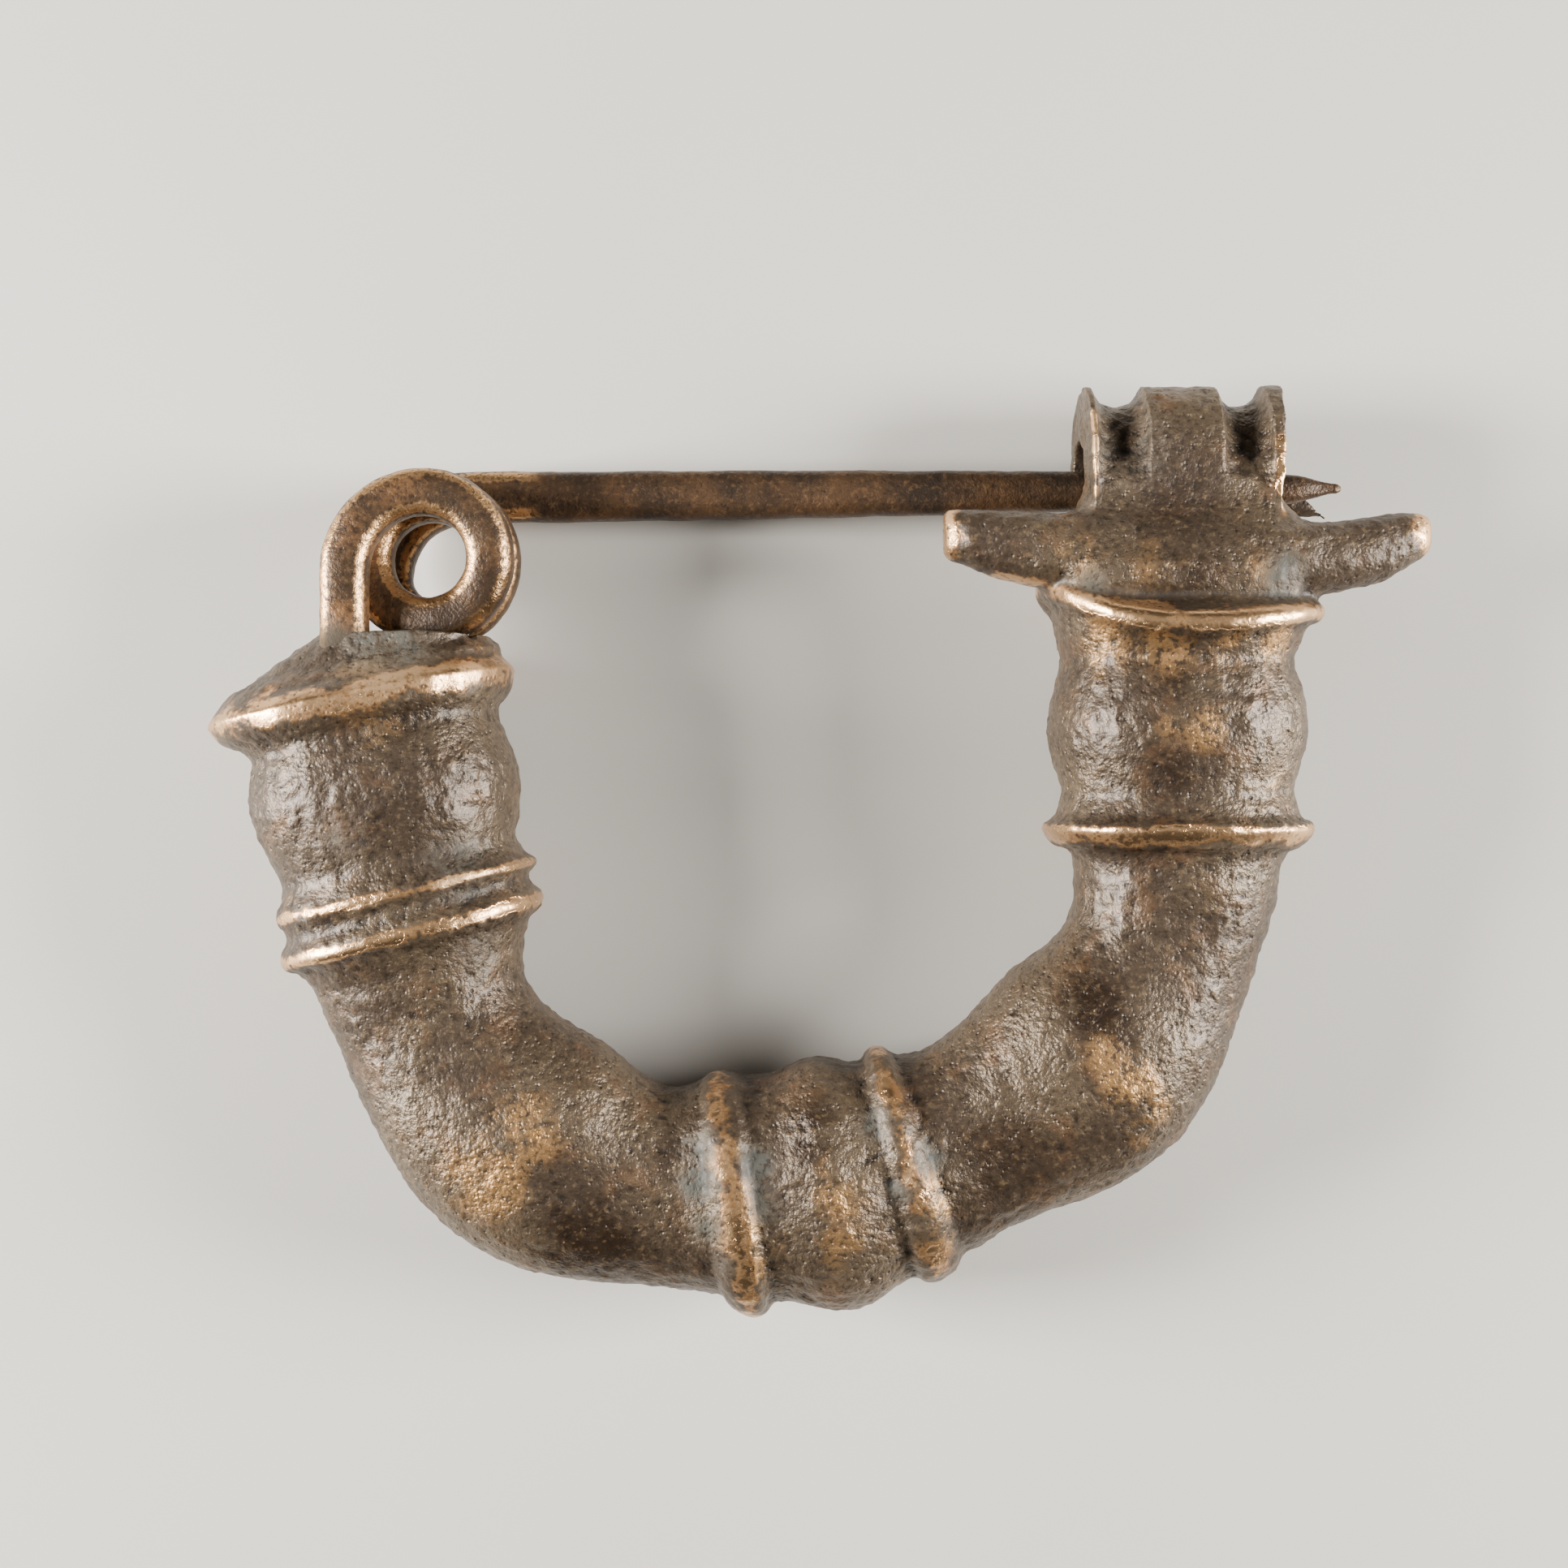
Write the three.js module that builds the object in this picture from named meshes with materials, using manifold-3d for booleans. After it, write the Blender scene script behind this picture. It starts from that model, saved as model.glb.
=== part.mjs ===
import * as THREE from "three";
import { mergeVertices } from "three/addons/utils/BufferGeometryUtils.js";
import Module from "manifold-3d";

// A small cast bronze bow brooch, lying on its back, in millimetres.
// X runs from the spring to the catch, Y from the bow to the pin, Z up out of the back.
// While it is being shaped, Z = 0 is the middle of the bow's thickness.

const wasm = await Module();
wasm.setup();

const backLevel = -4.2; // the flats on the back lie at this level
const sectionPower = 2.3; // 2 is an ellipse, more is squarer

// The bow's middle line: straight runs and bends, left leg first.
const bowRoute = {
  start: [-19.02, 9.12],
  heading: -79.2,
  runs: [
    { length: 14.2 },
    { radius: 11.15, turn: 78.3 },
    { length: 2.6 },
    { radius: 19.7, turn: 29.1 },
    { length: 1.9 },
    { radius: 12.1, turn: 61.8 },
    { length: 12.7 },
  ],
};

// Half widths of the plain bow between its mouldings: [place along the line, half width].
const bowGirth = [
  [1.9, 5.3], [2.5, 6.0], [3.8, 5.6], [4.4, 5.1], [9.8, 4.85], [11.0, 5.1], [12.9, 5.1],
  [13.9, 4.4], [16.3, 4.03], [23.2, 4.92], [29.1, 4.05], [30.3, 4.45], [33.0, 4.8], [37.3, 4.75],
  [39.8, 4.35], [41.5, 4.05], [47.3, 4.87], [53.1, 3.93], [56.6, 4.25], [57.2, 4.7],
  [59.2, 4.8], [64.7, 4.82], [66.0, 5.3], [67.0, 5.7], [68.2, 5.25],
];

// Raised mouldings: place, how far they stand out, half their width, lean of their plane,
// and how far their middle is off the line, towards the inside of the bow.
const mouldings = {
  endFlange: { at: 3.15, rise: 0.5, reach: 1.1, lean: 1, shift: -0.25 },
  leftBead: { at: 7.15, rise: 0.6, reach: 2.8, lean: 0, shift: 0 },
  leftUpperRing: { at: 11.05, rise: 0.3, reach: 0.55, lean: 1, shift: 0.1 },
  leftLowerRing: { at: 12.7, rise: 0.3, reach: 0.6, lean: 3, shift: 0.05 },
  crownLeftRing: { at: 31.6, rise: 0.45, reach: 0.8, lean: 9, shift: -0.2 },
  crownBead: { at: 35.5, rise: 0.47, reach: 2.2, lean: 0, shift: 0 },
  crownRightRing: { at: 38.85, rise: 0.4, reach: 0.9, lean: -4, shift: 0 },
  rightRing: { at: 57.6, rise: 0.68, reach: 0.6, lean: 0, shift: 0 },
  rightBead: { at: 62.0, rise: 0.5, reach: 2.7, lean: 0, shift: 0 },
  collar: { at: 67.0, rise: 0.35, reach: 0.8, lean: -5.5, shift: -0.1 },
};

const bow = {
  depthShare: 0.86, // half depth over half width
  flangeDepthShare: 0.76,
  flangeReach: 5, // the flange's shallower section fades out by here
  first: 1.9,
  last: 68.2,
  stride: 1.6, // between plain stations
  sides: 24,
};

// The collar under the catch dips at its front and back, and its left end is higher.
const collarDip = { from: 64.5, to: 66.6, dip: 1.5 };

// The flange's sloping top ends in this level face under the spring.
const flangeTop = { x: -17.05, y: 8.5, half: 3.5, halfDepth: 2.9 };

// The coil's lowest part sits in a shallow trough in that face.
const trough = { radius: 3.88, low: -3.9, high: 2.5 };

const catchBody = {
  x: 14.6,
  sections: [
    { y: 8.4, half: 4.4, depth: 3.4 },
    { y: 9.9, half: 5.1, depth: 3.9 },
    { y: 11.2, half: 5.5, depth: 3.5 },
    { y: 12.5, half: 4.9, depth: 2.9 },
    { y: 13.7, half: 4.0, depth: 2.5 },
    { y: 14.4, half: 3.6, depth: 2.2 },
  ],
};

// Each horn runs out sideways from the catch: [x, middle height, half height, half depth].
const horns = {
  z: 1.25,
  left: [
    [12.4, 11.9, 1.75, 1.9], [10.4, 11.9, 1.75, 1.75], [8.6, 11.95, 1.62, 1.6],
    [6.9, 12.35, 1.42, 1.45], [5.7, 12.6, 1.16, 1.25], [5.15, 12.62, 1.0, 1.05],
    [5.0, 12.62, 0.7, 0.7],
  ],
  right: [
    [16.8, 11.6, 1.8, 1.9], [19.0, 11.6, 1.67, 1.75], [21.0, 11.75, 1.5, 1.6],
    [22.7, 12.12, 1.43, 1.45], [23.8, 12.4, 1.12, 1.25], [24.45, 12.6, 0.75, 0.95],
    [24.72, 12.65, 0.4, 0.5],
  ],
  sides: 20,
};

// The way behind the catch that the pin travels along.
const pinWay = { left: 2, right: 28, bottom: 10.45, top: 16, front: -0.35 };

// The catch plate rises in front of the pin, folds back over it and ends in a lip.
const plate = {
  left: 10.89,
  right: 18.55,
  front: 2.4,
  rear: -3.6,
  bottom: 11.2,
  shoulder: 15.6, // the fold starts here
  top: 19.1,
  channel: { z: -1.5, half: 1.15, centre: 15.75 },
  lip: { bottom: 13.95, thickness: 1.0 },
  steps: 20,
  arcPoints: 8,
};
const flutes = {
  depth: 1.25,
  left: { x: 12.15, half: 1.1 },
  right: { x: 17.2, half: 0.95 },
  fadeFrom: 12.7,
  fadeTo: 14.9,
};
const flare = { left: 0.3, right: 3.2, power: 2.8 }; // the lip's ends stand out past the plate

// The spring wire: a foot on the flange, two turns and a quarter, then the pin.
const wireRoute = {
  start: [-19.0, 8.84],
  heading: 90,
  runs: [
    { length: 2.36 },
    { radius: 3.18, turn: -90 },
    { radius: 2.58, turn: -540 },
    { radius: 2.2, turn: -90 },
    { radius: 3.32, turn: -89.7 },
    { length: 36.6 },
  ],
};
const coil = { x: -15.82, y: 11.8 };
// The wire winds backwards: [place along it, height].
const wireLevels = [
  [0, 1.95], [2.4, 1.95], [7.4, 1.6], [11.4, 1.35], [15.5, 0.9], [19.5, 0], [23.6, -0.37],
  [27.6, -0.6], [31.7, -1.15], [35.1, -2.1], [40.2, -2.6], [77, -1.25],
];
// Its half width in the brooch's plane and its half depth: [place, half width, half depth].
const wireGirth = [
  [0, 0.98, 0.85], [35, 0.98, 0.85], [41, 1.1, 0.9], [60, 0.94, 0.8], [74.2, 0.66, 0.58],
  [75, 0.6, 0.54], [76.5, 0.2, 0.2], [76.9, 0.1, 0.1],
];
const wire = { sides: 10, power: 2.8, split: 31.5, gap: 0.36, coilStep: 0.8, pinStep: 3 };

const up = new THREE.Vector3(0, 0, 1);

function ease(from, to, value) {
  return THREE.MathUtils.smoothstep(value, from, to);
}

// Value of one column of a keyed table, in straight or eased steps.
function keyed(keys, at, column = 1, eased = true) {
  if (at <= keys[0][0]) return keys[0][column];
  const next = keys.findIndex((key) => key[0] > at);
  if (next < 0) return keys.at(-1)[column];
  const [a, b] = [keys[next - 1], keys[next]];
  const share = eased ? ease(a[0], b[0], at) : (at - a[0]) / (b[0] - a[0]);
  return THREE.MathUtils.lerp(a[column], b[column], share);
}

// Point and heading at a length along a route of straight runs and bends.
function along(route, length) {
  let [x, y] = route.start;
  let heading = THREE.MathUtils.degToRad(route.heading);
  let left = length;
  for (const run of route.runs) {
    const turn = THREE.MathUtils.degToRad(run.turn ?? 0);
    const size = run.length ?? run.radius * Math.abs(turn);
    const step = run === route.runs.at(-1) ? left : Math.min(left, size);
    if (run.radius) {
      const bend = (turn * step) / size;
      const radius = run.radius * Math.sign(turn);
      x += radius * (Math.sin(heading + bend) - Math.sin(heading));
      y += radius * (Math.cos(heading) - Math.cos(heading + bend));
      heading += bend;
    } else {
      x += step * Math.cos(heading);
      y += step * Math.sin(heading);
    }
    left -= step;
    if (left <= 0) break;
  }
  return { x, y, heading };
}

// One cross-section: its centre, heading, half width and half depth.
function section({ x, y, z = 0, heading, half, depth, power = sectionPower, dip = 0 }) {
  const ahead = new THREE.Vector3(Math.cos(heading), Math.sin(heading), 0);
  const side = new THREE.Vector3(-ahead.y, ahead.x, 0);
  const centre = new THREE.Vector3(x, y, z);
  const round = (value) => Math.sign(value) * Math.abs(value) ** (2 / power);
  const at = (angle) =>
    centre
      .clone()
      .addScaledVector(side, half * round(Math.sin(angle)))
      .addScaledVector(up, depth * round(Math.cos(angle)))
      .addScaledVector(ahead, -dip * Math.cos(angle) ** 2);
  return { centre, at };
}

// A closed body through a row of cross-sections.
function loft(sections, sides) {
  const last = sections.length - 1;
  const geometry = new THREE.CylinderGeometry(1, 1, 1, sides, last);
  const position = geometry.getAttribute("position");
  for (let i = 0; i < position.count; i++) {
    const [px, py, pz] = [position.getX(i), position.getY(i), position.getZ(i)];
    const ring = sections[Math.round((0.5 - py) * last)];
    const point = Math.hypot(px, pz) < 0.5 ? ring.centre : ring.at(Math.atan2(px, pz));
    position.setXYZ(i, point.x, point.y, point.z);
  }
  return geometry;
}

function solid(geometry) {
  const bare = geometry.clone();
  bare.deleteAttribute("normal");
  bare.deleteAttribute("uv");
  const merged = mergeVertices(bare, 1e-4);
  const vertProperties = new Float32Array(merged.getAttribute("position").array);
  const triVerts = new Uint32Array(merged.index.array);
  return new wasm.Manifold(new wasm.Mesh({ numProp: 3, vertProperties, triVerts }));
}

function geometryOf(manifold) {
  const { vertProperties, triVerts } = manifold.getMesh();
  const geometry = new THREE.BufferGeometry();
  geometry.setAttribute("position", new THREE.BufferAttribute(vertProperties, 3));
  geometry.setIndex(new THREE.BufferAttribute(triVerts, 1));
  const flat = geometry.toNonIndexed();
  flat.computeVertexNormals();
  return flat;
}

function block(left, right, bottom, top, low, high) {
  const box = new THREE.BoxGeometry(right - left, top - bottom, high - low);
  box.translate((left + right) / 2, (bottom + top) / 2, (low + high) / 2);
  return solid(box);
}

// Plain stations along the bow, and closer ones across each moulding.
function bowStations() {
  const places = new Set([bow.first, bow.last]);
  for (let at = bow.first; at < bow.last; at += bow.stride) places.add(at);
  for (const { at, reach } of Object.values(mouldings)) {
    for (const share of [-1, -0.6, -0.25, 0.25, 0.6, 1]) places.add(at + share * reach);
  }
  const inside = [...places].filter((at) => at >= bow.first && at <= bow.last);
  return inside.sort((a, b) => a - b);
}

function bowSection(at) {
  let half = keyed(bowGirth, at);
  let [lean, shift] = [0, 0];
  for (const ring of Object.values(mouldings)) {
    const share = 1 - Math.min(Math.abs(at - ring.at) / ring.reach, 1);
    half += ring.rise * ease(0, 1, share);
    lean += ring.lean * ease(0, 1, 2 * share);
    shift += ring.shift * ease(0, 1, share);
  }
  const dipShare = ease(collarDip.from, collarDip.to, at);
  if (at > collarDip.to) lean = mouldings.collar.lean;
  const { x, y, heading } = along(bowRoute, at);
  const shallow = 1 - ease(mouldings.endFlange.at, bow.flangeReach, at);
  const share = THREE.MathUtils.lerp(bow.depthShare, bow.flangeDepthShare, shallow);
  return section({
    x: x - shift * Math.sin(heading),
    y: y + shift * Math.cos(heading),
    heading: heading + THREE.MathUtils.degToRad(lean),
    half,
    depth: half * share,
    dip: collarDip.dip * dipShare,
  });
}

function makeBowBody() {
  const top = section({
    x: flangeTop.x,
    y: flangeTop.y,
    heading: -Math.PI / 2,
    half: flangeTop.half,
    depth: flangeTop.halfDepth,
  });
  return solid(loft([top, ...bowStations().map(bowSection)], bow.sides));
}

function makeCatchBody() {
  const rings = catchBody.sections.map(({ y, half, depth }) =>
    section({ x: catchBody.x, y, heading: Math.PI / 2, half, depth }),
  );
  return solid(loft(rings, bow.sides));
}

function makeHorn(rows, heading) {
  const rings = rows.map(([x, y, half, depth]) =>
    section({ x, y, z: horns.z, heading, half, depth }),
  );
  return solid(loft(rings, horns.sides));
}

// The plate's side outline, drawn with its front on the left: x here is minus Z.
function plateOutline() {
  const { front, rear, bottom, shoulder, top, channel, lip } = plate;
  const foldX = -(front + rear) / 2;
  const inner = -channel.z - channel.half;
  const outer = -channel.z + channel.half;
  const lipEnd = lip.bottom + lip.thickness / 2;
  const shape = new THREE.Shape();
  shape.moveTo(-front, bottom);
  for (let y = bottom + 0.75; y < shoulder; y += 0.75) shape.lineTo(-front, y);
  shape.absellipse(foldX, shoulder, (front - rear) / 2, top - shoulder, Math.PI, 0, true);
  shape.lineTo(-rear, lipEnd);
  shape.absarc((outer - rear) / 2, lipEnd, (-rear - outer) / 2, 0, Math.PI, true);
  shape.lineTo(outer, channel.centre);
  shape.absarc(-channel.z, channel.centre, channel.half, 0, Math.PI, false);
  shape.lineTo(inner, bottom);
  return shape;
}

// How far round the fold a point is: 0 at the foot of the plate, 1 at the end of the lip.
function foldShare(y, z) {
  const { front, rear, bottom, shoulder, lip } = plate;
  const middle = (front + rear) / 2;
  if (y > shoulder) return 0.35 + 0.3 * (Math.atan2(y - shoulder, z - middle) / Math.PI);
  if (z > middle) return (0.35 * (y - bottom)) / (shoulder - bottom);
  return 0.65 + (0.35 * (shoulder - y)) / (shoulder - lip.bottom);
}

function fluteDepth(x, y, z) {
  let depth = 0;
  for (const flute of [flutes.left, flutes.right]) {
    const share = Math.min(Math.abs(x - flute.x) / flute.half, 1);
    depth += flutes.depth * Math.cos((share * Math.PI) / 2) ** 1.3;
  }
  const front = ease(flutes.fadeFrom, flutes.fadeTo, y);
  const behind = ease(plate.rear + 0.4, plate.rear + 2.6, z);
  return depth * front * behind;
}

function isOuter(y, z) {
  const { front, rear, shoulder, top } = plate;
  if (y <= shoulder) return z > front - 0.1;
  const across = (z - (front + rear) / 2) / ((front - rear) / 2);
  const rise = (y - shoulder) / (top - shoulder);
  return Math.hypot(across, rise) > 0.9;
}

function makePlate() {
  const { left, right, front, rear, shoulder, steps, arcPoints } = plate;
  const geometry = new THREE.ExtrudeGeometry(plateOutline(), {
    depth: right - left,
    steps,
    curveSegments: arcPoints,
    bevelEnabled: false,
  });
  geometry.rotateY(Math.PI / 2);
  geometry.translate(left, 0, 0);
  const position = geometry.getAttribute("position");
  const middle = (front + rear) / 2;
  for (let i = 0; i < position.count; i++) {
    let [x, y, z] = [position.getX(i), position.getY(i), position.getZ(i)];
    const sideShare = (2 * x - left - right) / (right - left);
    const out = Math.max(foldShare(y, z), 0) ** flare.power;
    if (isOuter(y, z)) {
      const depth = fluteDepth(x, y, z);
      const reach = Math.hypot(z - middle, y - shoulder);
      const inward = y > shoulder ? depth / reach : 0;
      z -= y > shoulder ? (z - middle) * inward : depth;
      y -= y > shoulder ? (y - shoulder) * inward : 0;
    }
    x += sideShare * out * (sideShare < 0 ? flare.left : flare.right);
    position.setXYZ(i, x, y, z);
  }
  return solid(geometry);
}

function makeTrough() {
  const { radius, low, high } = trough;
  const drum = new THREE.CylinderGeometry(radius, radius, high - low, 2 * bow.sides);
  drum.rotateX(Math.PI / 2);
  drum.translate(coil.x, coil.y, (low + high) / 2);
  return solid(drum);
}

function makeBow() {
  const { left, right, bottom, top, front } = pinWay;
  const low = backLevel - 2;
  const cast = makeBowBody()
    .subtract(makeTrough())
    .add(makeCatchBody())
    .add(makeHorn(horns.left, Math.PI))
    .add(makeHorn(horns.right, 0))
    .subtract(block(left, right, bottom, top, low, front))
    .add(makePlate());
  return cast.subtract(block(-40, 40, -40, 40, backLevel - 10, backLevel));
}

function makeWire(from, to) {
  const places = [];
  const [coilEnd, taper] = [2, 4].map((row) => wireGirth[row][0]);
  for (let at = from; at < Math.min(to, coilEnd); at += wire.coilStep) places.push(at);
  if (to > coilEnd) {
    for (let at = coilEnd; at < taper; at += wire.pinStep) places.push(at);
    places.push(...wireGirth.slice(4).map(([at]) => at));
  } else {
    places.push(to);
  }
  const rings = places.map((at) =>
    section({
      ...along(wireRoute, at),
      z: keyed(wireLevels, at, 1, false),
      half: keyed(wireGirth, at, 1, false),
      depth: keyed(wireGirth, at, 2, false),
      power: wire.power,
    }),
  );
  return solid(loft(rings, wire.sides));
}

const castBronze = new THREE.MeshStandardMaterial({
  color: 0x6b5238,
  roughness: 0.55,
  metalness: 0.85,
});
const wroughtBronze = new THREE.MeshStandardMaterial({
  color: 0x6e4a32,
  roughness: 0.6,
  metalness: 0.8,
});

const pieces = {
  bow: [makeBow(), castBronze],
  spring: [makeWire(0, wire.split), wroughtBronze],
  pin: [makeWire(wire.split + wire.gap, wireGirth.at(-1)[0]), wroughtBronze.clone()],
};

const brooch = new THREE.Group();
for (const [name, [manifold, material]] of Object.entries(pieces)) {
  const mesh = new THREE.Mesh(geometryOf(manifold), material);
  mesh.name = name;
  brooch.add(mesh);
}

// The origin is under the middle of the brooch, at the level of its back.
const size = new THREE.Box3().setFromObject(brooch);
brooch.position.set(-(size.min.x + size.max.x) / 2, -(size.min.y + size.max.y) / 2, -size.min.z);

export default brooch;
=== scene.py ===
import math

import bmesh
import bpy
import numpy as np
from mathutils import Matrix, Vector


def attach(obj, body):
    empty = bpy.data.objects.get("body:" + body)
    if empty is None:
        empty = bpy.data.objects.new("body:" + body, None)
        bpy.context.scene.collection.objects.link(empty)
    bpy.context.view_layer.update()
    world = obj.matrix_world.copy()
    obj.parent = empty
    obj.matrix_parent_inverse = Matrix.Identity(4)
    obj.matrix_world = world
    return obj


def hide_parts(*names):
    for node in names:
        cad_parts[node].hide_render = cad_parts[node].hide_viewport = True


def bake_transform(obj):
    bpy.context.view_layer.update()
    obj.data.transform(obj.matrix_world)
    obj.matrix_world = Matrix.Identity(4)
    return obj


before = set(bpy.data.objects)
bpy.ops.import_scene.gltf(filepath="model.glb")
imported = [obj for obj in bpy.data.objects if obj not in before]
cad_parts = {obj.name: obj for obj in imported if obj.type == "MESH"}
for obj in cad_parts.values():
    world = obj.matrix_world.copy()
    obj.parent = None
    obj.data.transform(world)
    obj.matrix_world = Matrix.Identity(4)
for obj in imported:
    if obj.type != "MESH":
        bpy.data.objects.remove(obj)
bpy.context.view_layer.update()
bpy.ops.object.select_all(action="DESELECT")
print("frame loaded")

# A small cast bronze bow brooch, lying on its back, with a spring and pin of bronze wire.
# Sizes are in millimetres until they are placed.
mm = 0.001
datum = Vector((0.088, -0.011, 4.2))  # the middle of the bow's thickness, from the frame's origin
quarter = math.pi / 2
ovalPower = 2.3  # how square a ring of the bow is; 2 would be an ellipse


def place(x, y, z=0.0):
    return (Vector((x, y, z)) + datum) * mm


def ease(low, high, value):
    # 0 at low and 1 at high, with a soft start and stop
    share = min(max((value - low) / (high - low), 0), 1)
    return share * share * (3 - 2 * share)


def keyed(keys, at, column=1, eased=True):
    # reads one column of a table whose rows start with a place, between the rows too
    if at <= keys[0][0]:
        return keys[0][column]
    for before, after in zip(keys, keys[1:]):
        if at < after[0]:
            share = (at - before[0]) / (after[0] - before[0])
            share = ease(0, 1, share) if eased else share
            return before[column] + (after[column] - before[column]) * share
    return keys[-1][column]


def along(route, length):
    # point and heading at a length along a line of straight runs (length) and bends (radius, turn)
    x, y = route["start"]
    heading = math.radians(route["heading"])
    left = length
    for index, run in enumerate(route["runs"]):
        swing = math.radians(run[1]) if len(run) > 1 else 0
        size = abs(swing) * run[0] if swing else run[0]
        last = index == len(route["runs"]) - 1
        step = left if last or left < 0 else min(left, size)
        if swing:
            bend = swing * step / size
            radius = math.copysign(run[0], swing)
            x += radius * (math.sin(heading + bend) - math.sin(heading))
            y += radius * (math.cos(heading) - math.cos(heading + bend))
            heading += bend
        else:
            x += step * math.cos(heading)
            y += step * math.sin(heading)
        left -= step
        if left <= 0:
            break
    return x, y, heading


def chooseOnly(*pieces):
    # selects these pieces and nothing else, with the first one active
    bpy.ops.object.select_all(action="DESELECT")
    for piece in pieces:
        piece.select_set(True)
    bpy.context.view_layer.objects.active = pieces[0]


def applyModifier(piece, kind, **settings):
    chooseOnly(piece)
    modifier = piece.modifiers.new(kind.lower(), kind)
    for name, value in settings.items():
        setattr(modifier, name, value)
    bpy.ops.object.modifier_apply(modifier=modifier.name)


def cut(piece, cutter):
    # takes the cutter's shape out of the piece, and the cutter away
    applyModifier(piece, "BOOLEAN", object=cutter, operation="DIFFERENCE", solver="EXACT")
    bpy.data.objects.remove(cutter)


def selectWhere(test):
    # selects the points that pass the test, in edit mode
    mesh = bmesh.from_edit_mesh(bpy.context.object.data)
    for point in mesh.verts:
        point.select = test(point.co)
    mesh.select_flush_mode()
    bmesh.update_edit_mesh(bpy.context.object.data)


def turn(angle, axis, centre):
    # with no window the rotate operator turns the other way
    if abs(angle) > 1e-6:
        bpy.ops.transform.rotate(value=-angle, orient_axis=axis, center_override=centre)


def sweep(name, stations, corners=8, power=ovalPower, axis="Z"):
    # A plane with its corners rounded into a ring, extruded from station to station.
    # A station has its centre, its angle about the axis and its two half sizes in mm:
    # across the path, and along the axis.
    first = stations[0]
    facing = (0, quarter, 0) if axis == "Z" else (quarter, 0, 0)
    bpy.ops.object.select_all(action="DESELECT")
    bpy.ops.mesh.primitive_plane_add(size=2 * mm, location=first["centre"], rotation=facing)
    piece = bpy.context.object
    piece.name = name
    bpy.ops.object.transform_apply(location=True, rotation=True, scale=True)
    bpy.ops.object.mode_set(mode="EDIT")
    bpy.ops.mesh.select_mode(type="FACE")
    bpy.ops.mesh.select_all(action="SELECT")
    profile = 2 ** (-2 / power)
    bpy.ops.mesh.bevel(offset=mm, segments=corners, profile=profile, affect="VERTICES")
    bpy.ops.mesh.select_all(action="SELECT")
    bpy.ops.mesh.remove_doubles(threshold=mm * 1e-3)
    bpy.ops.mesh.select_all(action="SELECT")
    bpy.ops.transform.resize(
        value=grown(first["size"], (1, 1), axis), center_override=first["centre"]
    )
    turn(first["angle"], axis, first["centre"])
    for here, there in zip(stations, stations[1:]):
        move = there["centre"] - here["centre"]
        bpy.ops.mesh.extrude_region_move(TRANSFORM_OT_translate={"value": move})
        turn(-here["angle"], axis, there["centre"])
        bpy.ops.transform.resize(
            value=grown(there["size"], here["size"], axis), center_override=there["centre"]
        )
        turn(there["angle"], axis, there["centre"])
    bpy.ops.mesh.select_all(action="SELECT")
    bpy.ops.mesh.normals_make_consistent(inside=False)
    bpy.ops.object.mode_set(mode="OBJECT")
    return piece


def grown(size, before, axis):
    # the resize that turns one ring's half sizes into another's
    across, deep = size[0] / before[0], size[1] / before[1]
    return (1, across, deep) if axis == "Z" else (deep, 1, across)


def coordinates(piece):
    flat = np.empty(len(piece.data.vertices) * 3)
    piece.data.vertices.foreach_get("co", flat)
    return flat.reshape(-1, 3)


def writeShares(piece, name, shares):
    # keeps a number for each point, for the materials to read
    attribute = piece.data.attributes.new(name, "FLOAT", "POINT")
    attribute.data.foreach_set("value", shares.astype(np.float32))


def markRaised(piece, name, rounds, height):
    # how far each point stands above a smoothed copy, as a share of a height in mm
    smoothed = piece.copy()
    smoothed.data = piece.data.copy()
    bpy.context.scene.collection.objects.link(smoothed)
    applyModifier(smoothed, "SMOOTH", factor=0.5, iterations=rounds)
    normals = np.empty(len(piece.data.vertices) * 3)
    piece.data.vertex_normals.foreach_get("vector", normals)
    gaps = coordinates(piece) - coordinates(smoothed)
    raised = (gaps * normals.reshape(-1, 3)).sum(axis=1) / (height * mm)
    writeShares(piece, name, raised)
    bpy.data.objects.remove(smoothed)
    return raised


def relief(piece, size, strength, detail, middle, group=""):
    # pushes the surface in and out by clouds whose size and strength are in mm
    pattern = bpy.data.textures.new("clouds", "CLOUDS")
    pattern.noise_scale = size * mm
    pattern.noise_depth = detail
    applyModifier(
        piece, "DISPLACE", texture=pattern, texture_coords="LOCAL",
        strength=strength * mm, mid_level=middle, vertex_group=group,
    )


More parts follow.
